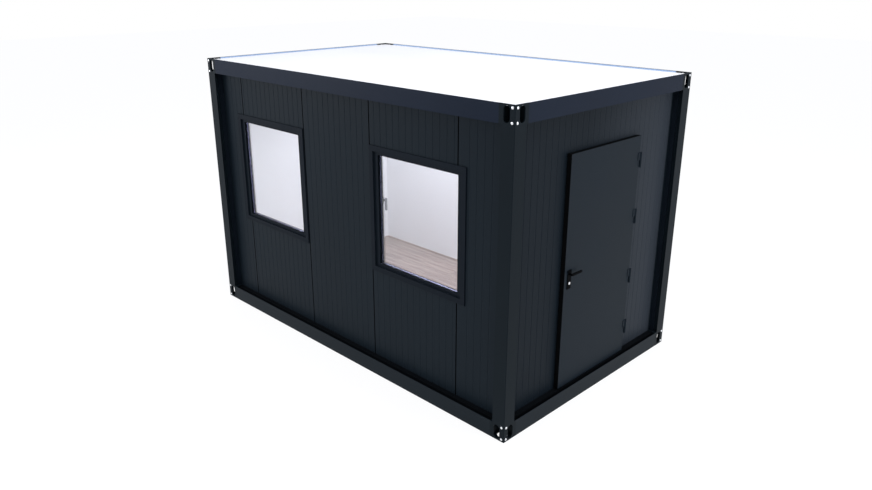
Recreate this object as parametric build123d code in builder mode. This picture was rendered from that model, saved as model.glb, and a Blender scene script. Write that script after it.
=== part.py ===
from build123d import *
import os

os.makedirs("parts", exist_ok=True)

# Overall size of the cabin, in millimetres.
length = 4000
width = 2400
height = 2600

# Steel frame: rails, posts and corner fittings.
steel = 4
rail_height = 140
shelf_drop = 40
floor_rail_foot = 96
roof_rail_flange = 56
rail_edge_radius = 1.5
post_tube = 100
post_lip = 20
post_corner_radius = 5
fitting_plate = 8
slot_width = 60
slot_height = 118
slot_inset = 76
foot_hole_radius = 42

# Wall panels, and the trims between them and the frame.
wall_recess = 84
wall_thickness = 60
trim_depth = 44
joint_chamfer = 6
joint_places = (-1533, -522, 401, 1408)

# Floor, ceiling and roof.
floor_panel_thickness = 30
joist_height = 90
joist_width = 50
joist_count = 5
beam_width = 40
beam_count = 5
ceiling_thickness = 20
roof_drop = 14
roof_sheet_thickness = 3

# Windows, placed by the centres of their openings in the front wall.
window_places = (-1082, 949)
window_middle_height = 1522
window_width = 1004
window_height = 1014
window_trim_band = 48
window_trim_proud = 10
window_stile_face = 46
window_rail_face = 28
window_frame_set_back = 7
window_frame_front = 14
window_frame_wall = 8
sash_clearance = 0.3
sash_proud = 4
glass_set_back = 5
glass_thickness = 20
glass_rebate = 10
window_handle_rise = 76
window_rose_width = 28
window_rose_height = 64
window_rose_thickness = 8
window_handle_width = 22
window_handle_thickness = 12
window_handle_reach = 50
window_handle_length = 98

# Door leaf and frame; heights are measured from the ground.
door_width = 984
door_offset = 28
door_top = 2142
door_bottom_gap = 8
door_seal_gap = 5
door_thickness = 38
door_step = 25
door_step_gap = 8
door_overlap = 20
door_frame_face = 20

# Hinges: four barrels on one upright axis.
hinge_middle = 1158
hinge_offsets = (-774, -277, 277, 774)
hinge_height = 130
hinge_radius = 10
hinge_pin_radius = 5
hinge_pin_clearance = 0.05
hinge_split = 0.4
hinge_axis_proud = 3
hinge_axis_side = 15
hinge_plate_width = 26
hinge_plate_thickness = 4
hinge_arm = 6

# Lever handle set and lock of the door.
spindle_inset = 60
spindle_height = 1165
spindle_radius = 4
spindle_clearance = 0.05
spindle_bore_gap = 4
plate_width = 48
plate_height = 160
plate_drop = 46
plate_thickness = 6
lever_gap = 0.3
lever_neck_radius = 9
lever_reach = 32
lever_length = 127
lever_height = 18
lever_thickness = 11
lever_edge_radius = 3
cylinder_drop = 78
cylinder_radius = 11
cylinder_proud = 3

# Sizes that follow from the ones above.
half_length = length / 2
half_width = width / 2
corner_size = wall_recess + wall_thickness
room_half_length = half_length - corner_size
room_half_width = half_width - corner_size
post_bottom = rail_height
post_top = height - rail_height
shelf_low = rail_height - shelf_drop
shelf_high = post_top + shelf_drop
floor_level = rail_height + floor_panel_thickness
sheet_low = height - roof_drop - roof_sheet_thickness
plate_void = corner_size - 2 * fitting_plate

# Each corner's plane: its two axes run inwards along the two faces that meet there.
corners = {
    "front_far": Plane((-half_length, -half_width, 0), x_dir=(1, 0, 0)),
    "front_door": Plane((half_length, -half_width, 0), x_dir=(0, 1, 0)),
    "back_door": Plane((half_length, half_width, 0), x_dir=(-1, 0, 0)),
    "back_far": Plane((-half_length, half_width, 0), x_dir=(0, -1, 0)),
}

# Each side starts at one of the corners and runs along that corner's first axis.
sides = {
    "front": ("front_far", 2 * room_half_length),
    "door_end": ("front_door", 2 * room_half_width),
    "back": ("back_door", 2 * room_half_length),
    "far_end": ("back_far", 2 * room_half_width),
}


def section_plane(corner):
    """Gives the plane of a side's cross-section: first axis inwards, second axis upwards."""
    start = corners[corner]
    origin = start.origin + start.x_dir * corner_size
    return Plane(origin, x_dir=start.y_dir, z_dir=start.x_dir)


def block(x_low, x_high, y_low, y_high, z_low, z_high):
    """Adds a block between two opposite corners."""
    with Locations(((x_low + x_high) / 2, (y_low + y_high) / 2, (z_low + z_high) / 2)):
        Box(x_high - x_low, y_high - y_low, z_high - z_low)


def save(part, name):
    """Labels a finished piece and writes it."""
    part.label = name
    export_step(part, f"parts/{name}.step")


# Floor rails: an upright web with a foot on the ground and a shelf that carries the walls.
for side, (corner, run) in sides.items():
    with BuildPart() as floor_rail:
        with BuildSketch(section_plane(corner)) as floor_section:
            Rectangle(steel, rail_height, align=Align.MIN)
            with Locations((steel, 0)):
                Rectangle(floor_rail_foot, steel, align=Align.MIN)
            with Locations((steel, shelf_low - steel)):
                Rectangle(corner_size - steel, steel, align=Align.MIN)
            fillet(floor_section.vertices().group_by(Axis.Y)[-1], rail_edge_radius)
        extrude(amount=run)
    save(floor_rail.part, f"floor_rail_{side}")

# Roof rails: a web with a shelf over the walls and a flange under the roof sheet.
for side, (corner, run) in sides.items():
    with BuildPart() as roof_rail:
        with BuildSketch(section_plane(corner)) as roof_section:
            with Locations((0, post_top)):
                Rectangle(steel, rail_height, align=Align.MIN)
            with Locations((steel, shelf_high)):
                Rectangle(corner_size - steel, steel, align=Align.MIN)
            with Locations((steel, sheet_low - steel)):
                Rectangle(roof_rail_flange, steel, align=Align.MIN)
            fillet(roof_section.vertices().group_by(Axis.Y)[-1], rail_edge_radius)
        extrude(amount=run)
    save(roof_rail.part, f"roof_rail_{side}")


def post_outline(inset):
    """Gives the outline of the post's tube and of the block that the walls butt against."""
    near = inset
    tube = post_tube - inset
    step = wall_recess + inset
    far = corner_size - inset
    return (
        (near, near),
        (tube, near),
        (tube, step),
        (far, step),
        (far, far),
        (step, far),
        (step, tube),
        (near, tube),
    )


# Corner posts: a folded tube whose two face plates run on past it as lips.
for corner, plane in corners.items():
    with BuildPart() as post:
        with BuildSketch(plane.offset(post_bottom)) as post_section:
            with BuildLine():
                Polyline(*post_outline(0), close=True)
            make_face()
            with Locations((post_tube, 0)):
                Rectangle(post_lip, steel, align=Align.MIN)
            with Locations((0, post_tube)):
                Rectangle(steel, post_lip, align=Align.MIN)
            fillet(post_section.vertices().sort_by_distance((0, 0))[0], post_corner_radius)
            with BuildLine():
                Polyline(*post_outline(steel), close=True)
            make_face(mode=Mode.SUBTRACT)
        extrude(amount=post_top - post_bottom)
    save(post.part, f"corner_post_{corner}")


def cut_slots(corner, level):
    """Cuts the upright slots through a fitting's two outer plates."""
    plane = corners[corner]
    for along, inward in ((plane.x_dir, plane.y_dir), (plane.y_dir, plane.x_dir)):
        middle = plane.origin + along * slot_inset + Vector(0, 0, level)
        with BuildSketch(Plane(middle, x_dir=(0, 0, 1), z_dir=inward)) as slot:
            SlotOverall(slot_height, slot_width)
        extrude(slot.sketch, amount=fitting_plate, mode=Mode.SUBTRACT)


# Bottom corner fittings: closed plate boxes with a round hole underneath.
for corner, plane in corners.items():
    with BuildPart() as bottom_fitting:
        with BuildSketch(plane) as fitting_outline:
            Rectangle(corner_size, corner_size, align=Align.MIN)
            fillet(fitting_outline.vertices().sort_by_distance((0, 0))[0], post_corner_radius)
        extrude(amount=rail_height)
        with BuildSketch(plane.offset(fitting_plate)):
            with Locations((fitting_plate, fitting_plate)):
                Rectangle(plate_void, plate_void, align=Align.MIN)
        extrude(amount=rail_height - 2 * fitting_plate, mode=Mode.SUBTRACT)
        with BuildSketch(plane):
            with Locations((slot_inset, slot_inset)):
                Circle(foot_hole_radius)
        extrude(amount=fitting_plate, mode=Mode.SUBTRACT)
        cut_slots(corner, rail_height / 2)
    save(bottom_fitting.part, f"bottom_fitting_{corner}")

# Top corner fittings: the outer plates rise past the roof sheet, which closes the box.
for corner, plane in corners.items():
    with BuildPart() as top_fitting:
        with BuildSketch(plane.offset(post_top)) as fitting_outline:
            Rectangle(corner_size, corner_size, align=Align.MIN)
            fillet(fitting_outline.vertices().sort_by_distance((0, 0))[0], post_corner_radius)
        extrude(amount=rail_height)
        with BuildSketch(plane.offset(post_top + fitting_plate)):
            with Locations((fitting_plate, fitting_plate)):
                Rectangle(plate_void, plate_void, align=Align.MIN)
        extrude(amount=rail_height, mode=Mode.SUBTRACT)
        with BuildSketch(plane.offset(sheet_low)):
            with Locations((fitting_plate, fitting_plate)):
                Rectangle(corner_size, corner_size, align=Align.MIN)
        extrude(amount=rail_height, mode=Mode.SUBTRACT)
        cut_slots(corner, height - rail_height / 2)
    save(top_fitting.part, f"top_fitting_{corner}")

# Rail trims: strips along the foot and head of every wall, behind the rails' edges.
with BuildPart() as rail_trims:
    for corner, run in sides.values():
        with BuildSketch(section_plane(corner)):
            for low in (shelf_low, post_top):
                with Locations((wall_recess - trim_depth, low)):
                    Rectangle(trim_depth, shelf_drop, align=Align.MIN)
        extrude(amount=run)
save(rail_trims.part, "rail_trims")

# Post trims: upright strips beside every post, behind its lips.
with BuildPart() as post_trims:
    for plane in corners.values():
        with BuildSketch(plane.offset(post_bottom)):
            with Locations((post_tube, wall_recess - trim_depth)):
                Rectangle(post_lip, trim_depth, align=Align.MIN)
            with Locations((wall_recess - trim_depth, post_tube)):
                Rectangle(trim_depth, post_lip, align=Align.MIN)
        extrude(amount=post_top - post_bottom)
save(post_trims.part, "post_trims")

# Floor joists: channels between the two long floor rails.
joist_pitch = 2 * room_half_length / joist_count
with BuildPart() as floor_joists:
    with BuildSketch(Plane.XZ.offset(-room_half_width)):
        with Locations((0, rail_height - joist_height / 2)):
            with GridLocations(joist_pitch, joist_height, joist_count, 1):
                Rectangle(joist_width, joist_height)
        with Locations((steel, rail_height - joist_height / 2)):
            with GridLocations(joist_pitch, joist_height, joist_count, 1):
                Rectangle(joist_width, joist_height - 2 * steel, mode=Mode.SUBTRACT)
    extrude(amount=2 * room_half_width)
save(floor_joists.part, "floor_joists")

# Floor panel: one board on the joists, wall to wall.
with BuildPart() as floor_panel:
    with BuildSketch(Plane.XY.offset(rail_height)):
        Rectangle(2 * room_half_length, 2 * room_half_width)
    extrude(amount=floor_panel_thickness)
save(floor_panel.part, "floor_panel")

# Ceiling panel: hangs under the roof beams, wall to wall.
with BuildPart() as ceiling_panel:
    with BuildSketch(Plane.XY.offset(post_top - ceiling_thickness)):
        Rectangle(2 * room_half_length, 2 * room_half_width)
    extrude(amount=ceiling_thickness)
save(ceiling_panel.part, "ceiling_panel")

# Roof beams: channels between the two long roof rails.
beam_pitch = 2 * room_half_length / beam_count
beam_height = sheet_low - post_top
with BuildPart() as roof_beams:
    with BuildSketch(Plane.XZ.offset(-room_half_width)):
        with Locations((0, post_top + beam_height / 2)):
            with GridLocations(beam_pitch, beam_height, beam_count, 1):
                Rectangle(beam_width, beam_height)
        with Locations((steel, post_top + beam_height / 2)):
            with GridLocations(beam_pitch, beam_height, beam_count, 1):
                Rectangle(beam_width, beam_height - 2 * steel, mode=Mode.SUBTRACT)
    extrude(amount=2 * room_half_width)
save(roof_beams.part, "roof_beams")

# Roof sheet: a flat tray that lies inside the rails' upper edges.
with BuildPart() as roof_sheet:
    with BuildSketch(Plane.XY.offset(sheet_low)):
        Rectangle(length - 2 * fitting_plate, width - 2 * fitting_plate)
    extrude(amount=roof_sheet_thickness)
save(roof_sheet.part, "roof_sheet")

# Long walls: upright panels from post to post, with chamfered joints on the outside.
panel_edges = (-room_half_length, *joint_places, room_half_length)


def wall_panel(plane, low, high, joints):
    """Adds a panel between two places along a side; joints says which outer edges are chamfered."""
    with BuildSketch(plane.offset(shelf_low)) as panel:
        with Locations((low, wall_recess)):
            Rectangle(high - low, wall_thickness, align=Align.MIN)
        outer = panel.vertices().group_by(Axis.Y)[0].sort_by(Axis.X)
        chamfer([edge for edge, joint in zip(outer, joints) if joint], joint_chamfer)
    extrude(panel.sketch, amount=shelf_high - shelf_low)


def long_wall_panels(corner, first):
    """Adds every other panel of a long wall, starting from the first one named."""
    last = len(panel_edges) - 2
    for index in range(first, last + 1, 2):
        low, high = panel_edges[index], panel_edges[index + 1]
        joints = (index > 0, index < last)
        if corner == "back_door":
            low, high = -high, -low
            joints = joints[::-1]
        wall_panel(corners[corner], low + half_length, high + half_length, joints)


def window_block(depth_low, depth_high, size, mode=Mode.ADD):
    """Adds or cuts a rectangular slab at each window, between two depths in the front wall."""
    for place in window_places:
        middle = (place, depth_high - half_width, window_middle_height)
        with BuildSketch(Plane(middle, x_dir=(1, 0, 0), z_dir=(0, -1, 0))) as slab:
            Rectangle(*size)
        extrude(slab.sketch, amount=depth_high - depth_low, mode=mode)


window_opening = (window_width, window_height)
make_up_panels = 0
module_panels = 1

with BuildPart() as front_wall_make_up_panels:
    long_wall_panels("front_far", make_up_panels)
    window_block(wall_recess, corner_size, window_opening, Mode.SUBTRACT)
save(front_wall_make_up_panels.part, "front_wall_make_up_panels")

with BuildPart() as front_wall_window_panels:
    long_wall_panels("front_far", module_panels)
    window_block(wall_recess, corner_size, window_opening, Mode.SUBTRACT)
save(front_wall_window_panels.part, "front_wall_window_panels")

with BuildPart() as back_wall_make_up_panels:
    long_wall_panels("back_door", make_up_panels)
save(back_wall_make_up_panels.part, "back_wall_make_up_panels")

with BuildPart() as back_wall_module_panels:
    long_wall_panels("back_door", module_panels)
save(back_wall_module_panels.part, "back_wall_module_panels")

# Far end wall: two panels that meet in the middle.
with BuildPart() as far_end_wall_back:
    wall_panel(corners["back_far"], corner_size, half_width, (False, True))
save(far_end_wall_back.part, "far_end_wall_back")

with BuildPart() as far_end_wall_front:
    wall_panel(corners["back_far"], half_width, width - corner_size, (True, False))
save(far_end_wall_front.part, "far_end_wall_front")

# Door end wall: a panel on each side of the door and one over it.
door_low = door_offset - door_width / 2
door_high = door_offset + door_width / 2
clear_low = door_low + door_overlap
clear_high = door_high - door_overlap
clear_top = door_top - door_overlap
opening_low = clear_low - door_frame_face
opening_high = clear_high + door_frame_face
opening_top = clear_top + door_frame_face
wall_face = half_length - wall_recess

with BuildPart() as door_end_wall_left:
    block(room_half_length, wall_face, -room_half_width, opening_low, shelf_low, shelf_high)
save(door_end_wall_left.part, "door_end_wall_left")

with BuildPart() as door_end_wall_right:
    block(room_half_length, wall_face, opening_high, room_half_width, shelf_low, shelf_high)
save(door_end_wall_right.part, "door_end_wall_right")

with BuildPart() as door_end_wall_over:
    block(room_half_length, wall_face, opening_low, opening_high, opening_top, shelf_high)
save(door_end_wall_over.part, "door_end_wall_over")

# Window trims: flat flanges on the outside of the wall, around the openings.
trim_outline = (window_width + 2 * window_trim_band, window_height + 2 * window_trim_band)
with BuildPart() as window_trims:
    window_block(wall_recess - window_trim_proud, wall_recess, trim_outline)
    window_block(wall_recess - window_trim_proud, wall_recess, window_opening, Mode.SUBTRACT)
save(window_trims.part, "window_trims")

# Window frames: a face set back in the opening, with a rebate behind it for the sash.
window_clear = (
    window_width - 2 * window_stile_face,
    window_height - 2 * window_rail_face,
)
window_rebate = (
    window_width - 2 * window_frame_wall,
    window_height - 2 * window_frame_wall,
)
frame_face = wall_recess + window_frame_set_back
sash_face = frame_face + window_frame_front
with BuildPart() as window_frames:
    window_block(frame_face, corner_size, window_opening)
    window_block(frame_face, sash_face, window_clear, Mode.SUBTRACT)
    window_block(sash_face, corner_size, window_rebate, Mode.SUBTRACT)
save(window_frames.part, "window_frames")

# Window sashes: closed against the frames' rebates, each with a groove for its glass.
sash_back = corner_size + sash_proud
sash_outline = (
    window_rebate[0] - 2 * sash_clearance,
    window_rebate[1] - 2 * sash_clearance,
)
glass_outline = (window_clear[0] + 2 * glass_rebate, window_clear[1] + 2 * glass_rebate)
glass_face = sash_face + glass_set_back
glass_back = glass_face + glass_thickness
with BuildPart() as window_sashes:
    window_block(sash_face, sash_back, sash_outline)
    window_block(sash_face, sash_back, window_clear, Mode.SUBTRACT)
    window_block(glass_face, glass_back, glass_outline, Mode.SUBTRACT)
save(window_sashes.part, "window_sashes")

# Window glass: one sealed double unit in each sash.
with BuildPart() as window_glass:
    window_block(glass_face, glass_back, glass_outline)
save(window_glass.part, "window_glass")

# Window handles: a rose on the stile with a neck and a lever that hangs down.
stile_middle = (sash_outline[0] + window_clear[0]) / 4
handle_places = (window_places[0] + stile_middle, window_places[1] - stile_middle)
handle_height = window_middle_height + window_handle_rise
handle_base = sash_back - half_width
handle_end = handle_base + window_handle_reach
with BuildPart() as window_handles:
    for place in handle_places:
        block(
            place - window_rose_width / 2,
            place + window_rose_width / 2,
            handle_base,
            handle_base + window_rose_thickness,
            handle_height - window_rose_height / 2,
            handle_height + window_rose_height / 2,
        )
        block(
            place - window_handle_width / 2,
            place + window_handle_width / 2,
            handle_base,
            handle_end,
            handle_height - window_handle_width / 2,
            handle_height + window_handle_width / 2,
        )
        block(
            place - window_handle_width / 2,
            place + window_handle_width / 2,
            handle_end - window_handle_thickness,
            handle_end,
            handle_height - window_handle_length,
            handle_height + window_handle_width / 2,
        )
save(window_handles.part, "window_handles")

# Door frame: jambs, head and threshold in the opening; the threshold is flush with the floor.
with BuildPart() as door_frame:
    block(room_half_length, wall_face, opening_low, opening_high, shelf_low, floor_level)
    block(room_half_length, wall_face, opening_low, opening_high, clear_top, opening_top)
    block(room_half_length, wall_face, opening_low, clear_low, floor_level, clear_top)
    block(room_half_length, wall_face, clear_high, opening_high, floor_level, clear_top)
save(door_frame.part, "door_frame")

# Door leaf: a slab over the frame, with a step behind it that enters the opening.
leaf_back = wall_face + door_seal_gap
leaf_face = leaf_back + door_thickness
step_back = leaf_back - door_step
spindle_place = door_low + spindle_inset
cylinder_height = spindle_height - cylinder_drop
plate_middle = spindle_height - plate_drop
with BuildPart() as door_leaf:
    block(leaf_back, leaf_face, door_low, door_high, rail_height + door_bottom_gap, door_top)
    block(
        step_back,
        leaf_back,
        clear_low + door_step_gap,
        clear_high - door_step_gap,
        floor_level + door_step_gap,
        clear_top - door_step_gap,
    )
    with BuildSketch(Plane.YZ.offset(step_back)):
        with Locations((spindle_place, spindle_height)):
            Circle(spindle_radius + spindle_bore_gap)
        with Locations((spindle_place, cylinder_height)):
            Circle(cylinder_radius)
    extrude(amount=leaf_face - step_back, mode=Mode.SUBTRACT)
save(door_leaf.part, "door_leaf")

# Hinge halves on the frame: a plate, an arm and the lower knuckle with its pin.
hinge_x = leaf_face + hinge_axis_proud
hinge_y = door_high + hinge_axis_side
knuckle = (hinge_height - hinge_split) / 2
with BuildPart() as hinge_frame_halves:
    for offset in hinge_offsets:
        foot = hinge_middle + offset - hinge_height / 2
        with BuildSketch(Plane.XY.offset(foot)):
            with Locations((hinge_x, hinge_y)):
                Circle(hinge_radius)
            with Locations((wall_face, hinge_y - hinge_arm / 2)):
                Rectangle(hinge_x - wall_face, hinge_arm, align=Align.MIN)
                Rectangle(hinge_plate_thickness, hinge_plate_width, align=Align.MIN)
        extrude(amount=knuckle)
        with BuildSketch(Plane.XY.offset(foot)):
            with Locations((hinge_x, hinge_y)):
                Circle(hinge_pin_radius)
        extrude(amount=hinge_height)
save(hinge_frame_halves.part, "hinge_frame_halves")

# Hinge halves on the leaf: a plate and the upper knuckle, bored for the pin.
with BuildPart() as hinge_leaf_halves:
    for offset in hinge_offsets:
        head = hinge_middle + offset + hinge_height / 2
        with BuildSketch(Plane.XY.offset(head - knuckle)):
            with Locations((leaf_face, door_high - hinge_plate_width)):
                plate_run = hinge_plate_width + hinge_axis_side
                Rectangle(hinge_plate_thickness, plate_run, align=Align.MIN)
            with Locations((hinge_x, hinge_y)):
                Circle(hinge_radius)
                Circle(hinge_pin_radius + hinge_pin_clearance, mode=Mode.SUBTRACT)
        extrude(amount=knuckle)
save(hinge_leaf_halves.part, "hinge_leaf_halves")

# Handle plates on both faces of the leaf, bored for the spindle and the lock cylinder.
with BuildPart() as handle_plates:
    for low in (step_back - plate_thickness, leaf_face):
        with BuildSketch(Plane.YZ.offset(low)):
            with Locations((spindle_place, plate_middle)):
                Rectangle(plate_width, plate_height)
            with Locations((spindle_place, spindle_height)):
                Circle(spindle_radius + spindle_clearance, mode=Mode.SUBTRACT)
            with Locations((spindle_place, cylinder_height)):
                Circle(cylinder_radius, mode=Mode.SUBTRACT)
        extrude(amount=plate_thickness)
save(handle_plates.part, "handle_plates")

# Lock cylinder: a barrel through the leaf and both plates.
cylinder_low = step_back - plate_thickness - cylinder_proud
cylinder_high = leaf_face + plate_thickness + cylinder_proud
with BuildPart() as lock_cylinder:
    with BuildSketch(Plane.YZ.offset(cylinder_low)):
        with Locations((spindle_place, cylinder_height)):
            Circle(cylinder_radius)
    extrude(amount=cylinder_high - cylinder_low)
save(lock_cylinder.part, "lock_cylinder")

# Lever set: a spindle through the leaf with a lever on each side, all turning together.
neck_high = leaf_face + plate_thickness + lever_gap
neck_low = step_back - plate_thickness - lever_gap
lever_high = neck_high + lever_reach
lever_low = neck_low - lever_reach
with BuildPart() as lever_set:
    with BuildSketch(Plane.YZ.offset(lever_low)):
        with Locations((spindle_place, spindle_height)):
            Circle(spindle_radius)
    extrude(amount=lever_high - lever_low)
    for low in (lever_low, neck_high):
        with BuildSketch(Plane.YZ.offset(low)):
            with Locations((spindle_place, spindle_height)):
                Circle(lever_neck_radius)
        extrude(amount=lever_reach)
    for low in (lever_low, lever_high - lever_thickness):
        with BuildSketch(Plane.YZ.offset(low)) as blade:
            with Locations((spindle_place, spindle_height - lever_height / 2)):
                Rectangle(lever_length, lever_height, align=Align.MIN)
            fillet(blade.vertices().group_by(Axis.X)[-1], lever_edge_radius)
        extrude(amount=lever_thickness)
save(lever_set.part, "lever_set")
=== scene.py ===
import bmesh
import bpy
import math
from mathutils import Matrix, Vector


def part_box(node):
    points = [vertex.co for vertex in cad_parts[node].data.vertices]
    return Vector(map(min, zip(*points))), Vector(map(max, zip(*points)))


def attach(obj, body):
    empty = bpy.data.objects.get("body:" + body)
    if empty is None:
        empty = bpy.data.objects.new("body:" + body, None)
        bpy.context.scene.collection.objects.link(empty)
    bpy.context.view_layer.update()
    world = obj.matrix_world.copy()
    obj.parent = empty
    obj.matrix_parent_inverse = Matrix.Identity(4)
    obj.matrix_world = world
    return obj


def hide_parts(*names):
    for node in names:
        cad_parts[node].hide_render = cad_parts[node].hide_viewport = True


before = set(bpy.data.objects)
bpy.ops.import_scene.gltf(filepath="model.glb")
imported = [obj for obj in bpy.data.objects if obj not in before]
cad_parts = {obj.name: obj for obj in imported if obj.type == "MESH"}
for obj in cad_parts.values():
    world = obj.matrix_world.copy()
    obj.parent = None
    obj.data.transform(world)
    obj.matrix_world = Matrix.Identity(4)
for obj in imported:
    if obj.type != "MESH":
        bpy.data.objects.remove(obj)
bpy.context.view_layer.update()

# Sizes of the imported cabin, in metres: X runs along the window wall to the door end, Z up.
HALF_LENGTH = 2.0
HALF_WIDTH = 1.2
HEIGHT = 2.6

# The walls' outer and inner faces, measured inwards from the frame, and their lower and upper ends.
WALL_RECESS = 0.084
WALL_BACK = 0.144
WALL_THICK = WALL_BACK - WALL_RECESS
WALL_FOOT = 0.100
WALL_HEAD = 2.500

# The room's half sizes, and the places along X of the joints between the long walls' panels.
ROOM_HALF_LENGTH = HALF_LENGTH - WALL_BACK
ROOM_HALF_WIDTH = HALF_WIDTH - WALL_BACK
JOINTS = (-1.533, -0.522, 0.401, 1.408)

# The windows: middles along X, their height, and half sizes of the wall's hole and of the clear glass.
WINDOW_PLACES = (-1.082, 0.949)
WINDOW_MIDDLE = 1.522
WINDOW_HALF = (0.502, 0.507)
DAYLIGHT_HALF = (0.456, 0.479)

# Names of the CAD bodies.
CABIN = "cabin"
DOOR = "door"
LEVER = "lever"


# Materials
def paint(hex_code):
    """Turns an sRGB hex colour into linear RGBA."""
    values = []
    for start in (1, 3, 5):
        channel = int(hex_code[start:start + 2], 16) / 255
        values.append(channel / 12.92 if channel <= 0.04045 else ((channel + 0.055) / 1.055) ** 2.4)
    return (*values, 1.0)


def per_metre(millimetres):
    """Gives the texture scale at which one cell is this many millimetres wide."""
    return 1000 / millimetres


def add(tree, kind, inputs=None, **settings):
    """Adds a node with its settings, and links or sets each of its inputs."""
    node = tree.nodes.new(kind)
    for name, value in settings.items():
        setattr(node, name, value)
    for key, value in (inputs or {}).items():
        if isinstance(value, bpy.types.NodeSocket):
            tree.links.new(value, node.inputs[key])
        else:
            node.inputs[key].default_value = value
    return node


def blank(name):
    """Starts a material with only an output, and gives its tree, output and object coordinates."""
    material = bpy.data.materials.new(name)
    material.use_nodes = True
    tree = material.node_tree
    tree.nodes.clear()
    output = add(tree, "ShaderNodeOutputMaterial")
    place = add(tree, "ShaderNodeTexCoord").outputs["Object"]
    return material, tree, output, place


# The middle range of a noise, where its values mostly lie, and a relief's depth by its cell's width.
DRIFT_RANGE = (0.3, 0.7)
RELIEF_PER_MM = 0.0002


def coated(name, dark, light, rough, metal=0.0, cloud_mm=600, peel_mm=3, peel=0.05, painted_light_ramp=None,
           **constants):
    """A painted or moulded surface: slow colour drift, uneven gloss and a fine texture in relief.

    Given a pair of places along Y, the colour instead goes from dark to light between them: painted
    light that grows towards the second place.
    """
    material, tree, output, place = blank(name)
    drift = add(tree, "ShaderNodeTexNoise", {
        "Vector": place, "Scale": per_metre(cloud_mm), "Detail": 3.0, "Roughness": 0.55})
    shade = drift.outputs["Fac"]
    if painted_light_ramp:
        along = add(tree, "ShaderNodeSeparateXYZ", {"Vector": place})
        shade = add(tree, "ShaderNodeMapRange", {
            "Value": along.outputs["Y"], "From Min": painted_light_ramp[0], "From Max": painted_light_ramp[1]}).outputs["Result"]
    colour = add(tree, "ShaderNodeMix", {
        "Factor": shade, 6: paint(dark), 7: paint(light)}, data_type="RGBA")
    gloss = add(tree, "ShaderNodeMapRange", {
        "Value": drift.outputs["Fac"], "From Min": DRIFT_RANGE[0], "From Max": DRIFT_RANGE[1],
        "To Min": rough[0], "To Max": rough[1]})
    grain = add(tree, "ShaderNodeTexNoise", {
        "Vector": place, "Scale": per_metre(peel_mm), "Detail": 2.0, "Roughness": 0.5})
    relief = add(tree, "ShaderNodeBump", {
        "Strength": peel, "Distance": peel_mm * RELIEF_PER_MM, "Height": grain.outputs["Fac"]})
    surface = add(tree, "ShaderNodeBsdfPrincipled", {
        "Base Color": colour.outputs[2], "Roughness": gloss.outputs["Result"],
        "Metallic": metal, "Normal": relief.outputs["Normal"], **constants})
    tree.links.new(surface.outputs["BSDF"], output.inputs["Surface"])
    return material


# How strongly the dark coats mirror the studio; a low value keeps them deep and even.
DEEP = {"Specular IOR Level": 0.05}

# Polyester-coated steel skin, roller coated: satin anthracite that drifts a little along the sheet.
wall_skin = coated("anthracite_polyester_coated_skin", "#131A20", "#182026", (0.40, 0.48),
                   cloud_mm=900, peel_mm=4, peel=0.06, **DEEP)

# The same skin on the door end, painted lighter towards the hinge side: painted light where more light
# falls on that side.
skin_painted_lighter_to_hinge = coated("polyester_coated_skin_painted_lighter_to_hinge", "#131A20", "#2C3137", (0.40, 0.48),
                    cloud_mm=900, peel_mm=4, peel=0.06, painted_light_ramp=(-0.2, 0.9), **DEEP)

# The same sheet in white on the room side: an even, slightly cool lining.
white_lining = coated("white_polyester_coated_lining", "#E6E7EA", "#ECEDF0", (0.45, 0.55),
                      cloud_mm=900, peel_mm=4, peel=0.04)

# Powder coat on folded steel: satin anthracite with orange peel that breaks up its highlights.
frame_coat = coated("anthracite_powder_coated_steel", "#0F161B", "#131B20", (0.38, 0.46),
                    cloud_mm=500, peel_mm=2.5, peel=0.12, **DEEP)

# The roof rails' powder coat is painted a shade lighter and bluer than the posts': painted sky light
# on the rails.
rail_coat_painted_sky_light = coated("roof_rail_coat_painted_lighter_as_sky_light", "#151C28", "#19212E", (0.36, 0.44),
                   cloud_mm=500, peel_mm=2.5, peel=0.12, **DEEP)

# The floor rails' coat is a neutral grey beside it, painted lighter than the posts': painted light
# bounced up from the white ground.
sill_coat_painted_ground_light = coated("floor_rail_coat_painted_lighter_as_ground_light", "#171D22", "#1B2227", (0.38, 0.46),
                   cloud_mm=500, peel_mm=2.5, peel=0.12, **DEEP)

# The strips along the rails are the same powder coat, painted darker as shade in the frame's recesses.
# So is the back of the roof sheet.
coat_painted_shade_dark = coated("powder_coat_painted_darker_as_shade", "#080A0D", "#0C0F12", (0.45, 0.55),
                   cloud_mm=300, peel_mm=2.5, peel=0.10, **DEEP)

# Foiled PVC of the window profiles and the strips beside the posts: a matt, finely grained film.
foil = coated("anthracite_foiled_pvc", "#0E141B", "#121920", (0.48, 0.58),
              cloud_mm=250, peel_mm=1.5, peel=0.15, **DEEP)

# Satin lavender-grey anodised aluminium of the glass spacers, a narrow band between the panes.
spacer_metal = coated("grey_anodised_spacer_aluminium", "#7A7C9C", "#8688A8", (0.26, 0.34), metal=1.0,
                      cloud_mm=20, peel_mm=1, peel=0.03)

# Pale brown wood-effect edging along the foot of the lining.
edging = coated("brown_wood_effect_edging", "#9E877F", "#AC958C", (0.45, 0.55),
                cloud_mm=120, peel_mm=4, peel=0.08)

# The room side of the window profiles is bare white PVC, smooth and a little glossy.
white_pvc = coated("white_extruded_pvc", "#E9EAEE", "#F0F1F4", (0.28, 0.36),
                   cloud_mm=250, peel_mm=2, peel=0.03)

# Flat roof sheet, coil coated in white.
roof_white = coated("white_coil_coated_roof_sheet", "#ECECEC", "#F1F1F1", (0.40, 0.50),
                    cloud_mm=700, peel_mm=5, peel=0.05)

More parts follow.
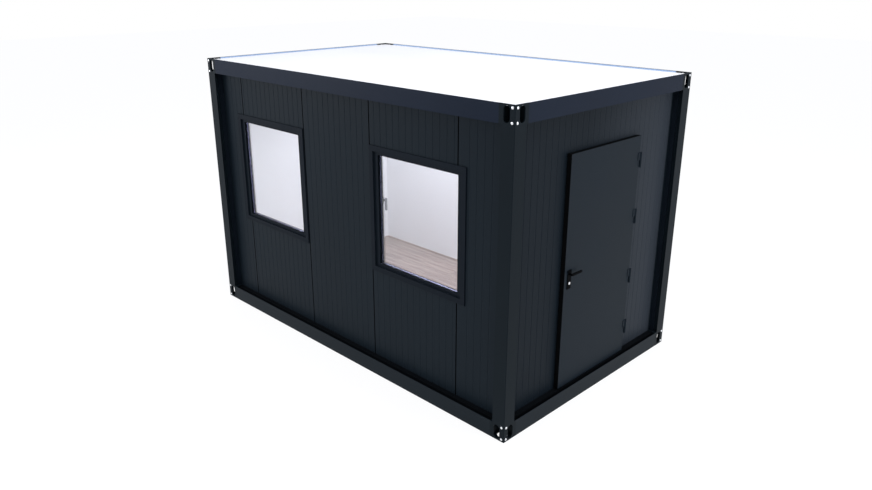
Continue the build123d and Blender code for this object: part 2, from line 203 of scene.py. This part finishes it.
# Tape along the roof's edge, painted a pale, cool grey-blue: painted sky light on the inside of the
# far rails' lips.
tape_painted_sky_blue = coated("tape_painted_grey_blue_as_sky_light", "#8FA8CC", "#9DB4D4", (0.55, 0.65),
                   cloud_mm=120, peel_mm=3, peel=0.10)

# Steel-faced door leaf: the smoothest of the dark sheets, with hardly any peel.
door_skin = coated("anthracite_smooth_door_skin", "#151C22", "#192128", (0.40, 0.46),
                   cloud_mm=700, peel_mm=6, peel=0.04, **DEEP)

# Rubber seal and edging strip: soft black that swallows the light.
rubber = coated("black_epdm_rubber", "#060708", "#0A0B0C", (0.62, 0.72),
                cloud_mm=60, peel_mm=1.2, peel=0.12, **DEEP)

# Moulded nylon over steel: satin black with a fine mould texture.
black_nylon = coated("black_moulded_nylon", "#040507", "#070809", (0.34, 0.42),
                     cloud_mm=80, peel_mm=1, peel=0.08, **{"Specular IOR Level": 0.01})

# Bright zinc plate: pale metal that mirrors its surroundings softly.
zinc = coated("bright_zinc_plated_steel", "#E2E4E8", "#F2F3F6", (0.22, 0.34), metal=1.0,
              cloud_mm=12, peel_mm=0.8, peel=0.05)

# Satin nickel on the lock cylinder: a bright brushed disc.
nickel = coated("satin_nickel_plated_brass", "#F6F6F8", "#FDFDFE", (0.26, 0.34), metal=1.0,
                cloud_mm=8, peel_mm=0.6, peel=0.05)

# Hot-dip galvanised steel: grey with a cloudy spangle.
galvanised = coated("galvanised_steel", "#8C9096", "#B4B8BE", (0.38, 0.58), metal=1.0,
                    cloud_mm=25, peel_mm=4, peel=0.06)

# Satin anodised aluminium of the window handles.
anodised = coated("satin_anodised_aluminium", "#5F5F6A", "#6C6C77", (0.30, 0.40), metal=1.0,
                  cloud_mm=30, peel_mm=0.6, peel=0.06)


# Wood-effect laminate: streaks in millimetres, how far each board's print is shifted, and tones.
STREAK_LENGTH_MM = 500
STREAK_WIDTH_MM = 20
PRINT_SHIFT = (17.0, 5.0)
STREAK_TONES = ((0.40, "#745F59"), (0.60, "#A8948D"))
BOARD_TONES = (0.86, 1.04)


def laminate():
    """Printed wood-effect laminate, pressed and satin: long streaks, each board its own tone."""
    material, tree, output, place = blank("wood_effect_laminate_boards")
    board = add(tree, "ShaderNodeNewGeometry").outputs["Random Per Island"]
    shift = [add(tree, "ShaderNodeMath", {0: board, 1: far}, operation="MULTIPLY").outputs[0]
             for far in PRINT_SHIFT]
    shifted = add(tree, "ShaderNodeVectorMath", {
        0: place, 1: add(tree, "ShaderNodeCombineXYZ", {
            "X": shift[0], "Y": shift[1]}).outputs[0]}, operation="ADD")
    stretched = add(tree, "ShaderNodeMapping", {
        "Vector": shifted.outputs[0],
        "Scale": (per_metre(STREAK_LENGTH_MM), per_metre(STREAK_WIDTH_MM),
                  per_metre(STREAK_WIDTH_MM))})
    grain = add(tree, "ShaderNodeTexNoise", {
        "Vector": stretched.outputs[0], "Scale": 1.0, "Detail": 6.0, "Roughness": 0.66,
        "Distortion": 0.08})
    tone = add(tree, "ShaderNodeValToRGB", {"Fac": grain.outputs["Fac"]})
    for stop, (position, hex_code) in zip(tone.color_ramp.elements, STREAK_TONES):
        stop.position = position
        stop.color = paint(hex_code)
    step = add(tree, "ShaderNodeMapRange", {
        "Value": board, "To Min": BOARD_TONES[0], "To Max": BOARD_TONES[1]})
    colour = add(tree, "ShaderNodeMix", {
        "Factor": 1.0, 6: tone.outputs["Color"],
        7: add(tree, "ShaderNodeCombineColor", {
            "Red": step.outputs["Result"], "Green": step.outputs["Result"],
            "Blue": step.outputs["Result"]}).outputs[0]},
        data_type="RGBA", blend_type="MULTIPLY")
    relief = add(tree, "ShaderNodeBump", {
        "Strength": 0.15, "Distance": 0.0004, "Height": grain.outputs["Fac"]})
    surface = add(tree, "ShaderNodeBsdfPrincipled", {
        "Base Color": colour.outputs[2], "Roughness": 0.42, "Normal": relief.outputs["Normal"]})
    tree.links.new(surface.outputs["BSDF"], output.inputs["Surface"])
    return material


def float_glass():
    """Clear float glass: almost colourless, with a faint waviness that only reflections show."""
    material, tree, output, place = blank("clear_float_glass")
    wave = add(tree, "ShaderNodeTexNoise", {
        "Vector": place, "Scale": per_metre(350), "Detail": 1.0})
    relief = add(tree, "ShaderNodeBump", {
        "Strength": 0.02, "Distance": 0.0005, "Height": wave.outputs["Fac"]})
    surface = add(tree, "ShaderNodeBsdfPrincipled", {
        "Base Color": paint("#FAFCFD"), "Roughness": 0.0, "IOR": 1.45,
        "Transmission Weight": 1.0, "Normal": relief.outputs["Normal"]})
    tree.links.new(surface.outputs["BSDF"], output.inputs["Surface"])
    return material


boards = laminate()
glass = float_glass()


# Shapes
class Shape:
    """Collects points and faces, each with the number of its finish."""

    def __init__(self):
        self.points = []
        self.faces = []
        self.finishes = []

    def face(self, corners, finish=0):
        """Adds one face through these corners."""
        first = len(self.points)
        self.points.extend(corners)
        self.faces.append(tuple(range(first, first + len(corners))))
        self.finishes.append(finish)

    def box(self, low, high, finish=0):
        """Adds a box between its lowest and highest corners."""
        (x0, y0, z0), (x1, y1, z1) = low, high
        for corners in (
            ((x0, y0, z0), (x0, y1, z0), (x1, y1, z0), (x1, y0, z0)),
            ((x0, y0, z1), (x1, y0, z1), (x1, y1, z1), (x0, y1, z1)),
            ((x0, y0, z0), (x1, y0, z0), (x1, y0, z1), (x0, y0, z1)),
            ((x0, y1, z0), (x0, y1, z1), (x1, y1, z1), (x1, y1, z0)),
            ((x0, y0, z0), (x0, y0, z1), (x0, y1, z1), (x0, y1, z0)),
            ((x1, y0, z0), (x1, y1, z0), (x1, y1, z1), (x1, y0, z1)),
        ):
            self.face(corners, finish)

    def piece(self, name, finishes, body, bevel=0.0, segments=2, smooth=False):
        """Makes the piece: joins its points, turns its faces outwards and rides it on a body."""
        mesh = bpy.data.meshes.new(name)
        mesh.from_pydata([tuple(p) for p in self.points], [], self.faces)
        for polygon, finish in zip(mesh.polygons, self.finishes):
            polygon.material_index = finish
        work = bmesh.new()
        work.from_mesh(mesh)
        bmesh.ops.remove_doubles(work, verts=work.verts, dist=1e-6)
        bmesh.ops.recalc_face_normals(work, faces=work.faces)
        for face in work.faces:
            face.smooth = smooth
        work.to_mesh(mesh)
        work.free()
        piece = bpy.data.objects.new(name, mesh)
        bpy.context.scene.collection.objects.link(piece)
        for finish in finishes:
            mesh.materials.append(finish)
        if bevel:
            round_edges(piece, bevel, segments)
        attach(piece, body)
        return piece


def round_edges(piece, width, segments=2):
    """Rounds the sharp edges of a piece by this width, in metres."""
    edges = piece.modifiers.new("rounded_edges", "BEVEL")
    edges.width = width
    edges.segments = segments
    edges.limit_method = "ANGLE"
    edges.angle_limit = math.radians(40)
    edges.harden_normals = False


def softened(node, name, finishes, body, bevel, choose=None, segments=2):
    """Stands in for a CAD node: the same shape with rounded edges, its faces sorted by finish."""
    mesh = bpy.data.meshes.new(name)
    work = bmesh.new()
    work.from_mesh(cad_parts[node].data)
    bmesh.ops.remove_doubles(work, verts=work.verts, dist=1e-5)
    bmesh.ops.dissolve_limit(work, angle_limit=math.radians(1), verts=work.verts, edges=work.edges)
    for face in work.faces:
        face.smooth = False
        face.material_index = choose(face.calc_center_median(), face.normal) if choose else 0
    work.to_mesh(mesh)
    work.free()
    piece = bpy.data.objects.new(name, mesh)
    bpy.context.scene.collection.objects.link(piece)
    for finish in finishes:
        mesh.materials.append(finish)
    round_edges(piece, bevel, segments)
    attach(piece, body)
    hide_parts(node)
    return piece


def coat_node(node, finish):
    """Gives a CAD node its finish."""
    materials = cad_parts[node].data.materials
    if not materials:
        materials.append(finish)
    for index in range(len(materials)):
        materials[index] = finish


# Walls: V ribs across the skin, and an open joint with a broken edge between two panels.
RIB_PITCH = 0.0755
RIB_HALF = 0.0045
RIB_DEPTH = 0.0018
RIB_CLEARANCE = 0.001
JOINT_HALF = 0.006
SLIT_HALF = 0.0056
SLIT_DEPTH = 0.018
LONG_WALL_PHASE = 0.013
END_WALL_PHASE = 0.020
SKIN, LINING, JOINT_LIP = 0, 1, 2


def skin_line(start, end, joint_start, joint_end, phase):
    """The outer line of a panel from start to end: half a joint at an end, a small V at each rib."""
    notch = ((0.0, SLIT_DEPTH), (SLIT_HALF, SLIT_DEPTH), (SLIT_HALF, JOINT_HALF - SLIT_HALF),
             (JOINT_HALF, 0.0))
    line = [(start + u, d) for u, d in notch] if joint_start else [(start, 0.0)]
    count = math.ceil((start + JOINT_HALF + RIB_HALF - phase) / RIB_PITCH)
    while phase + count * RIB_PITCH < end - JOINT_HALF - RIB_HALF:
        rib = phase + count * RIB_PITCH
        if rib - RIB_HALF > line[-1][0] + RIB_CLEARANCE:
            line += [(rib - RIB_HALF, 0.0), (rib, RIB_DEPTH), (rib + RIB_HALF, 0.0)]
        count += 1
    line += [(end - u, d) for u, d in reversed(notch)] if joint_end else [(end, 0.0)]
    return line


def ribbed_panel(shape, at, start, end, joints, holes, phase, foot):
    """Adds a sandwich panel: ribbed skin outside, flat lining inside, cut round the holes."""
    holes = [hole for hole in holes if hole[0] < end and hole[1] > start]
    cuts = sorted({start, end, *(e for h in holes for e in h[:2] if start < e < end)})
    levels = sorted({foot, WALL_HEAD, *(e for h in holes for e in h[2:])})
    depth = WALL_THICK

    def solid(column, row):
        """Tells whether a cell between the cuts and levels is wall rather than hole or outside."""
        if not (0 <= column < len(cuts) - 1 and 0 <= row < len(levels) - 1):
            return False
        u = (cuts[column] + cuts[column + 1]) / 2
        z = (levels[row] + levels[row + 1]) / 2
        return not any(h[0] < u < h[1] and h[2] < z < h[3] for h in holes)

    for column in range(len(cuts) - 1):
        u0, u1 = cuts[column], cuts[column + 1]
        line = skin_line(u0, u1, joints[0] and u0 == start, joints[1] and u1 == end, phase)
        for row in range(len(levels) - 1):
            if not solid(column, row):
                continue
            z0, z1 = levels[row], levels[row + 1]
            for (ua, da), (ub, db) in zip(line, line[1:]):
                finish = JOINT_LIP if max(da, db) > RIB_DEPTH else SKIN
                shape.face([at(ua, da, z0), at(ub, db, z0), at(ub, db, z1), at(ua, da, z1)],
                           finish)
            shape.face([at(u0, depth, z0), at(u0, depth, z1), at(u1, depth, z1),
                        at(u1, depth, z0)], LINING)
            for side, (u, d) in ((-1, line[0]), (1, line[-1])):
                if not solid(column + side, row):
                    shape.face([at(u, d, z0), at(u, depth, z0), at(u, depth, z1), at(u, d, z1)])
            for side, z in ((-1, z0), (1, z1)):
                if not solid(column, row + side):
                    shape.face([at(u, d, z) for u, d in line]
                               + [at(u1, depth, z), at(u0, depth, z)])


# Each wall places a point by its run along the wall, its depth behind the skin and its height.
def at_front(u, d, z):
    return (u, WALL_RECESS - HALF_WIDTH + d, z)


def at_back(u, d, z):
    return (u, HALF_WIDTH - WALL_RECESS - d, z)


def at_door_end(u, d, z):
    return (HALF_LENGTH - WALL_RECESS - d, u, z)


def at_far_end(u, d, z):
    return (WALL_RECESS - HALF_LENGTH + d, u, z)


def ribbed_wall(name, node, at, spans, phase, holes=(), skin=wall_skin, foot=WALL_FOOT):
    """Builds the panels that stand in for one CAD node of a wall."""
    shape = Shape()
    for start, end, joints in spans:
        ribbed_panel(shape, at, start, end, joints, holes, phase, foot)
    piece = shape.piece(name, [skin, white_lining, rubber], CABIN)
    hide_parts(node)


# Each span holds a panel's two ends and whether it meets a neighbour there.
panel_ends = (-ROOM_HALF_LENGTH, *JOINTS, ROOM_HALF_LENGTH)
last = len(panel_ends) - 2
long_spans = [(panel_ends[i], panel_ends[i + 1], (i > 0, i < last)) for i in range(last + 1)]
window_holes = [(c - WINDOW_HALF[0], c + WINDOW_HALF[0],
                 WINDOW_MIDDLE - WINDOW_HALF[1], WINDOW_MIDDLE + WINDOW_HALF[1])
                for c in WINDOW_PLACES]
for name, node, at, spans, holes in (
    ("front_make_up_panels_ribbed", "front_wall_make_up_panels", at_front, long_spans[0::2],
     window_holes),
    ("front_window_panels_ribbed", "front_wall_window_panels", at_front, long_spans[1::2],
     window_holes),
    ("back_make_up_panels_ribbed", "back_wall_make_up_panels", at_back, long_spans[0::2], ()),
    ("back_module_panels_ribbed", "back_wall_module_panels", at_back, long_spans[1::2], ()),
):
    ribbed_wall(name, node, at, spans, LONG_WALL_PHASE, holes)
ribbed_wall("far_end_front_panel_ribbed", "far_end_wall_front", at_far_end,
            [(-ROOM_HALF_WIDTH, 0.0, (False, True))], END_WALL_PHASE)
ribbed_wall("far_end_back_panel_ribbed", "far_end_wall_back", at_far_end,
            [(0.0, ROOM_HALF_WIDTH, (True, False))], END_WALL_PHASE)

# The door end: plain cuts round the door, the same ribs all across, and a skin painted lighter towards
# the hinge side as painted light.
door_side_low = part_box("door_end_wall_left")[1].y
door_side_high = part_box("door_end_wall_right")[0].y
over_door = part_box("door_end_wall_over")[0].z
for name, node, start, end, foot in (
    ("door_end_left_panel_ribbed", "door_end_wall_left", -ROOM_HALF_WIDTH, door_side_low,
     WALL_FOOT),
    ("door_end_right_panel_ribbed", "door_end_wall_right", door_side_high, ROOM_HALF_WIDTH,
     WALL_FOOT),
    ("door_end_over_panel_ribbed", "door_end_wall_over", door_side_low, door_side_high,
     over_door),
):
    ribbed_wall(name, node, at_door_end, [(start, end, (False, False))], END_WALL_PHASE,
                skin=skin_painted_lighter_to_hinge, foot=foot)

# Frame
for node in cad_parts:
    if node.startswith(("corner_post", "bottom_fitting", "top_fitting")):
        coat_node(node, frame_coat)
    if node.startswith("roof_rail"):
        coat_node(node, rail_coat_painted_sky_light)
    if node.startswith("floor_rail"):
        coat_node(node, sill_coat_painted_ground_light)
coat_node("rail_trims", coat_painted_shade_dark)
coat_node("post_trims", foil)
for node in ("floor_joists", "roof_beams"):
    coat_node(node, galvanised)
coat_node("ceiling_panel", white_lining)
coat_node("lock_cylinder", nickel)


def roof_finish(centre, normal):
    """White on top; the sheet's edges and underside get the darker coat, painted shade where the edge
    shows through the fittings' slots.
    """
    return 0 if normal.z > 0.5 else 1


roof_tray = softened("roof_sheet", "roof_tray", [roof_white, coat_painted_shade_dark], CABIN, 0.0005,
                     roof_finish, segments=1)
for node in ("hinge_frame_halves", "hinge_leaf_halves"):
    coat_node(node, door_skin)
coat_node("door_frame", frame_coat)

# Bolt heads on the corner fittings.
BOLT_RADIUS = 0.0105
BOLT_RISE = 0.0025
BOLT_ROOT = -0.001
BOLT_SIDES = 20
# A bolt head's outline, as shares of its radius and its rise: rim, shoulder and flat top.
BOLT_OUTLINE = ((1.0, 0.35), (0.86, 0.85), (0.6, 1.0))


def bolt_head(shape, centre, normal):
    """Adds a low domed bolt head with a chamfered rim, rooted just inside its face."""
    normal = Vector(normal)
    across = Vector((0, 0, 1))
    other = normal.cross(across)
    centre = Vector(centre)

    def loop(radius, rise):
        """Gives a ring of points round the bolt's axis."""
        return [centre + normal * rise + (across * math.cos(t) + other * math.sin(t)) * radius
                for t in (2 * math.pi * i / BOLT_SIDES for i in range(BOLT_SIDES))]

    rings = [loop(BOLT_RADIUS, BOLT_ROOT)]
    rings += [loop(BOLT_RADIUS * wide, BOLT_RISE * high) for wide, high in BOLT_OUTLINE]
    for lower, upper in zip(rings, rings[1:]):
        for i in range(BOLT_SIDES):
            j = (i + 1) % BOLT_SIDES
            shape.face([lower[i], lower[j], upper[j], upper[i]])
    shape.face(rings[-1])


# Two bolts on each outer face of every fitting, beside the slot's corner edge.
BOLT_INSET = 0.026
BOLT_LEVELS = (0.021, 0.124, HEIGHT - 0.125, HEIGHT - 0.022)
bolts = Shape()
for x in (-1, 1):
    for y in (-1, 1):
        for z in BOLT_LEVELS:
            bolt_head(bolts, (x * (HALF_LENGTH - BOLT_INSET), y * HALF_WIDTH, z), (0, y, 0))
            bolt_head(bolts, (x * HALF_LENGTH, y * (HALF_WIDTH - BOLT_INSET), z), (x, 0, 0))
bolts.piece("fitting_bolts", [zinc], CABIN, smooth=True)

# Tape upright along the inside of the roof rails' lips; its pale grey-blue is painted sky light.
TAPE_DEPTH = 0.0045
TAPE_THICK = 0.0025
TAPE_FOOT = HEIGHT - 0.0165
TAPE_TOP = HEIGHT - 0.0025
tape = Shape()
for side in (-1, 1):
    near, far = sorted(side * (HALF_WIDTH - TAPE_DEPTH - inset) for inset in (0, TAPE_THICK))
    tape.box((-ROOM_HALF_LENGTH, near, TAPE_FOOT), (ROOM_HALF_LENGTH, far, TAPE_TOP))
for side in (-1, 1):
    near, far = sorted(side * (HALF_LENGTH - TAPE_DEPTH - inset) for inset in (0, TAPE_THICK))
    tape.box((near, -ROOM_HALF_WIDTH, TAPE_FOOT), (far, ROOM_HALF_WIDTH, TAPE_TOP))
tape.piece("roof_edge_tape", [tape_painted_sky_blue], CABIN)

# Floor boards, each row shifted along by a share of a board's length.
BOARD_WIDTH = 0.192
BOARD_LENGTH = 1.285
BOARD_THICK = 0.008
BOARD_GAP = 0.0006
BOARD_SHORTEST = 0.02
BOARD_EDGE = 0.0008
ROW_SHIFT = 0.43
BASE_GAP = 0.0002
HAIR = 0.001
floor_low, floor_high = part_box("floor_panel")
floor = Shape()
row, y = 0, floor_low.y
while y < floor_high.y - HAIR:
    y_end = min(y + BOARD_WIDTH, floor_high.y)
    x = floor_low.x - (row * ROW_SHIFT % 1.0) * BOARD_LENGTH
    while x < floor_high.x - HAIR:
        x_start, x_end = max(x, floor_low.x), min(x + BOARD_LENGTH, floor_high.x)
        if x_end - x_start > BOARD_SHORTEST:
            floor.box((x_start + BOARD_GAP / 2, y + BOARD_GAP / 2, floor_high.z - BOARD_THICK),
                      (x_end - BOARD_GAP / 2, y_end - BOARD_GAP / 2, floor_high.z))
        x += BOARD_LENGTH
    y += BOARD_WIDTH
    row += 1
floor_piece = floor.piece("laminate_floor_boards", [boards], CABIN, bevel=BOARD_EDGE, segments=1)
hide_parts("floor_panel")
base = Shape()
base.box(tuple(floor_low), (floor_high.x, floor_high.y, floor_high.z - BOARD_THICK - BASE_GAP))
base.piece("floor_base_board", [coat_painted_shade_dark], CABIN)

# Wood-effect edging strips along the foot of the lining, open at the door.
EDGING_WIDE = 0.012
EDGING_HIGH = 0.016
EDGING_ROUND = 0.003
strips = Shape()
strip_foot, strip_top = floor_high.z, floor_high.z + EDGING_HIGH
inner_low, inner_high = floor_low.y + EDGING_WIDE, floor_high.y - EDGING_WIDE
for y in (floor_low.y, inner_high):
    strips.box((floor_low.x, y, strip_foot), (floor_high.x - HAIR, y + EDGING_WIDE, strip_top))
strips.box((floor_low.x, inner_low, strip_foot),
           (floor_low.x + EDGING_WIDE, inner_high, strip_top))
for y_start, y_end in ((inner_low, door_side_low), (door_side_high, inner_high)):
    strips.box((floor_high.x - EDGING_WIDE, y_start, strip_foot),
               (floor_high.x, y_end, strip_top))
strips.piece("floor_edging_strips", [edging], CABIN, bevel=EDGING_ROUND)


# Windows
PROFILE_TOLERANCE = 0.004


def room_faces(centre, normal):
    """Sorts the faces of a window profile: 1 for those that look into the room, 0 for the rest."""
    return 1 if normal.y > 0.5 and centre.y > WALL_BACK - PROFILE_TOLERANCE - HALF_WIDTH else 0


# Each row: CAD node, its piece, finishes, width and steps of the rounding, sorting, and slot.
for node, name, finishes, bevel, segments, choose, slot in (
    ("window_trims", "window_flanges", [foil], 0.002, 2, None, "window_profile"),
    ("window_frames", "window_fixed_frames", [foil, white_pvc], 0.0015, 2, room_faces,
     "window_profile"),
    ("window_sashes", "window_sash_profiles", [foil, white_pvc], 0.0015, 2, room_faces,
     "window_profile"),
    ("window_handles", "window_lever_handles", [anodised], 0.003, 3, None, "window_handle"),
):
    softened(node, name, finishes, CABIN, bevel, choose, segments)


def rect_sweep(shape, at, centre, half, section, finish=0):
    """Sweeps a closed section round a rectangle; each of its points is an outset and a depth."""
    rings = []
    for outset, depth in section:
        a, b = half[0] + outset, half[1] + outset
        rings.append([at(centre[0] + su * a, depth, centre[1] + sz * b)
                      for su, sz in ((-1, -1), (1, -1), (1, 1), (-1, 1))])
    count = len(rings)
    for i in range(count):
        this, after = rings[i], rings[(i + 1) % count]
        for k in range(4):
            m = (k + 1) % 4
            shape.face([this[k], this[m], after[m], after[k]], finish)


def at_window(u, d, z):
    """Places a window point by its depth behind the frame's outer face."""
    return (u, d - HALF_WIDTH, z)


# Two panes with an aluminium spacer between them, in the sash's groove.
PANE_THICK = 0.004
PANE_EDGE_COVER = 0.0095
SPACER_GAP = 0.0002
# Each point of the spacer's section is an outset from the clear glass and a side: 0 outer, 1 inner.
SPACER_SECTION = ((-0.0015, 0), (-0.0015, 1), (0.0085, 1), (0.0085, 0))
# Each point of the gaskets' section is an outset and a distance off the glass.
GASKET_SECTION = ((-0.003, 0.0003), (-0.0015, 0.003), (0.0002, 0.0032), (0.0002, 0.0003))
panes = Shape()
spacers = Shape()
gaskets = Shape()
glass_low, glass_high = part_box("window_glass")
pane_faces = (glass_low.y + HALF_WIDTH, glass_high.y + HALF_WIDTH - PANE_THICK)
spacer_faces = (pane_faces[0] + PANE_THICK + SPACER_GAP, pane_faces[1] - SPACER_GAP)
pane_half = [half + PANE_EDGE_COVER for half in DAYLIGHT_HALF]
for place in WINDOW_PLACES:
    middle = (place, WINDOW_MIDDLE)
    for face in pane_faces:
        panes.box(
            at_window(place - pane_half[0], face, WINDOW_MIDDLE - pane_half[1]),
            at_window(place + pane_half[0], face + PANE_THICK, WINDOW_MIDDLE + pane_half[1]))
    rect_sweep(spacers, at_window, middle, DAYLIGHT_HALF,
               [(outset, spacer_faces[side]) for outset, side in SPACER_SECTION])
    # Wedge gaskets press on the glass from both sides and show as thin black lines.
    for face, way in ((pane_faces[0], -1), (pane_faces[1] + PANE_THICK, 1)):
        rect_sweep(gaskets, at_window, middle, DAYLIGHT_HALF,
                   [(outset, face + way * off) for outset, off in GASKET_SECTION])
panes_piece = panes.piece("window_panes", [glass], CABIN)
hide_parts("window_glass")
spacers.piece("glass_spacers", [spacer_metal], CABIN)
gaskets.piece("glazing_gaskets", [rubber], CABIN)

# Door: a slab over the frame, with a narrower step behind it.
SLAB_THICK = 0.038
leaf_low, leaf_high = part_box("door_leaf")
slab_back = leaf_high.x - SLAB_THICK


def leaf_finish_with_painted_shade(centre, normal):
    """The slab's edges get black rubber, painted shade along the leaf's sides; the rest gets the
    smooth skin.
    """
    return 1 if centre.x > slab_back + HAIR and abs(normal.x) < 0.5 else 0


# Each row as for the windows, and after the finishes the body that the piece rides on.
for node, name, finishes, body, bevel, segments, choose, slot in (
    ("door_leaf", "door_leaf_skins", [door_skin, rubber], DOOR, 0.0015, 2, leaf_finish_with_painted_shade,
     "door_skin"),
    ("handle_plates", "door_handle_plates", [black_nylon], DOOR, 0.002, 3, None, "handle_black"),
    ("lever_set", "door_lever_handles", [black_nylon], LEVER, 0.0025, 3, None, "handle_black"),
):
    softened(node, name, finishes, body, bevel, choose, segments)

# A hollow rubber seal on the back of the slab, all round, a few millimetres off the wall.
# Each point of its section is an outset from the leaf's edge and a distance behind the slab.
SEAL_SECTION = ((-0.004, 0.0), (-0.005, 0.0038), (-0.008, 0.0045), (-0.011, 0.0038), (-0.012, 0.0))
seal = Shape()
leaf_middle = ((leaf_low.y + leaf_high.y) / 2, (leaf_low.z + leaf_high.z) / 2)
leaf_half = ((leaf_high.y - leaf_low.y) / 2, (leaf_high.z - leaf_low.z) / 2)


def at_leaf(u, d, z):
    """Places a door point by its distance behind the slab."""
    return (slab_back - d, u, z)


rect_sweep(seal, at_leaf, leaf_middle, leaf_half, SEAL_SECTION)
seal.piece("door_leaf_seal", [rubber], DOOR)

# Keyway in the lock cylinder's outer and inner ends.
KEYWAY_HALF = (0.0008, 0.004)
KEYWAY_DEPTH = 0.001
KEYWAY_PROUD = 0.0003
cylinder_low, cylinder_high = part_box("lock_cylinder")
keyways = Shape()
key_y = (cylinder_low.y + cylinder_high.y) / 2
key_z = (cylinder_low.z + cylinder_high.z) / 2
for x, way in ((cylinder_high.x, 1), (cylinder_low.x, -1)):
    near, far = sorted((x - way * KEYWAY_DEPTH, x + way * KEYWAY_PROUD))
    keyways.box((near, key_y - KEYWAY_HALF[0], key_z - KEYWAY_HALF[1]),
                (far, key_y + KEYWAY_HALF[0], key_z + KEYWAY_HALF[1]))
keyways.piece("lock_keyways", [rubber], DOOR)

# Studio
GROUND_HALF = 40.0
GROUND_DROP = 0.0005
GROUND_WHITE_SHARE = 0.8
GROUND_GLOW = 1.06
DOME_STRENGTH = 0.85


def pale_ground():
    """Matt white ground that the camera sees nearly white, with the cabin's soft shadow on it."""
    material, tree, output, _ = blank("matt_white_ground")
    seen = add(tree, "ShaderNodeLightPath")
    clear = add(tree, "ShaderNodeMath", {
        0: seen.outputs["Is Camera Ray"], 1: seen.outputs["Is Glossy Ray"]}, operation="MAXIMUM")
    clear = add(tree, "ShaderNodeMath", {
        0: clear.outputs[0], 1: seen.outputs["Is Transmission Ray"]}, operation="MAXIMUM")
    share = add(tree, "ShaderNodeMath", {
        0: clear.outputs[0], 1: GROUND_WHITE_SHARE}, operation="MULTIPLY")
    matt = add(tree, "ShaderNodeBsdfDiffuse", {"Color": paint("#F6F6F6")})
    white = add(tree, "ShaderNodeEmission", {"Color": paint("#FFFFFF"), "Strength": GROUND_GLOW})
    both = add(tree, "ShaderNodeMixShader", {
        "Fac": share.outputs[0], 1: matt.outputs[0], 2: white.outputs[0]})
    tree.links.new(both.outputs[0], output.inputs["Surface"])
    return material


ground_mesh = bpy.data.meshes.new("ground")
ground_mesh.from_pydata([(-GROUND_HALF, -GROUND_HALF, 0), (GROUND_HALF, -GROUND_HALF, 0),
                         (GROUND_HALF, GROUND_HALF, 0), (-GROUND_HALF, GROUND_HALF, 0)],
                        [], [(0, 1, 2, 3)])
ground = bpy.data.objects.new("ground", ground_mesh)
ground.location.z = -GROUND_DROP
bpy.context.scene.collection.objects.link(ground)
ground_mesh.materials.append(pale_ground())

# A pale dome lights the cabin, and the camera sees plain white behind it, also through the glass.
world = bpy.data.worlds.new("studio")
bpy.context.scene.world = world
world.use_nodes = True
sky = world.node_tree
sky.nodes.clear()
height = add(sky, "ShaderNodeSeparateXYZ", {
    "Vector": add(sky, "ShaderNodeTexCoord").outputs["Generated"]})
lift = add(sky, "ShaderNodeMapRange", {
    "Value": height.outputs["Z"], "From Min": 0.0, "From Max": 0.8})
dome = add(sky, "ShaderNodeMix", {
    "Factor": lift.outputs["Result"], 6: paint("#F2F4F8"), 7: paint("#EEF2FF")}, data_type="RGBA")
light = add(sky, "ShaderNodeBackground", {"Color": dome.outputs[2], "Strength": DOME_STRENGTH})
backdrop = add(sky, "ShaderNodeBackground", {"Color": paint("#FFFFFF"), "Strength": 1.0})
rays = add(sky, "ShaderNodeLightPath")
direct = add(sky, "ShaderNodeMath", {
    0: rays.outputs["Is Camera Ray"], 1: rays.outputs["Is Transmission Ray"]}, operation="MAXIMUM")
mixed = add(sky, "ShaderNodeMixShader", {
    "Fac": direct.outputs[0], 1: light.outputs[0], 2: backdrop.outputs[0]})
sky.links.new(mixed.outputs[0], add(sky, "ShaderNodeOutputWorld").inputs["Surface"])


def softbox(name, place, aim, size, watts, colour):
    """Adds a rectangular area lamp that faces a point and that the camera doesn't see."""
    data = bpy.data.lights.new(name, "AREA")
    data.shape = "RECTANGLE"
    data.size, data.size_y = size
    data.energy = watts
    data.color = paint(colour)[:3]
    lamp = bpy.data.objects.new(name, data)
    lamp.location = place
    lamp.visible_camera = False
    lamp.rotation_mode = "QUATERNION"
    lamp.rotation_quaternion = (Vector(aim) - Vector(place)).to_track_quat("-Z", "Y")
    bpy.context.scene.collection.objects.link(lamp)


# Each lamp: its place, the point it faces, its size in metres, its power in watts and its colour.
for lamp_row in (
    ("overhead_softbox", (3.0, -1.5, 9.0), (0, 0, 1.0), (6.0, 6.0), 380, "#FFFFFF"),
    ("window_side_fill", (-7.0, -7.0, 3.5), (-0.5, -1.2, 1.3), (3.5, 3.5), 320, "#F4F7FF"),
    ("door_side_fill", (9.0, 2.5, 3.0), (2.0, 0.3, 1.3), (3.5, 3.5), 220, "#F4F7FF"),
    ("room_softbox", (0.2, 0.35, 2.42), (0.2, 0.35, 0), (2.4, 1.2), 57, "#FAF8FF"),
):
    softbox(*lamp_row)

# Camera where the photograph's perspective puts it: off the near corner, 3.4 m up, looking down.
CAMERA_PLACE = (5.1137, -5.0607, 3.4227)
CAMERA_DOWN = math.radians(19.622)
CAMERA_TURN = math.radians(45.058)
camera_data = bpy.data.cameras.new("camera")
camera_data.sensor_width = 36.0
camera_data.lens = 31.057
camera_data.shift_x = 0.00196
camera_data.shift_y = -0.00612
camera_data.clip_end = 200.0
camera = bpy.data.objects.new("camera", camera_data)
camera.location = CAMERA_PLACE
camera.rotation_euler = (math.radians(90) - CAMERA_DOWN, 0, CAMERA_TURN)
bpy.context.scene.collection.objects.link(camera)
bpy.context.scene.camera = camera
bpy.context.scene.view_settings.view_transform = "Standard"
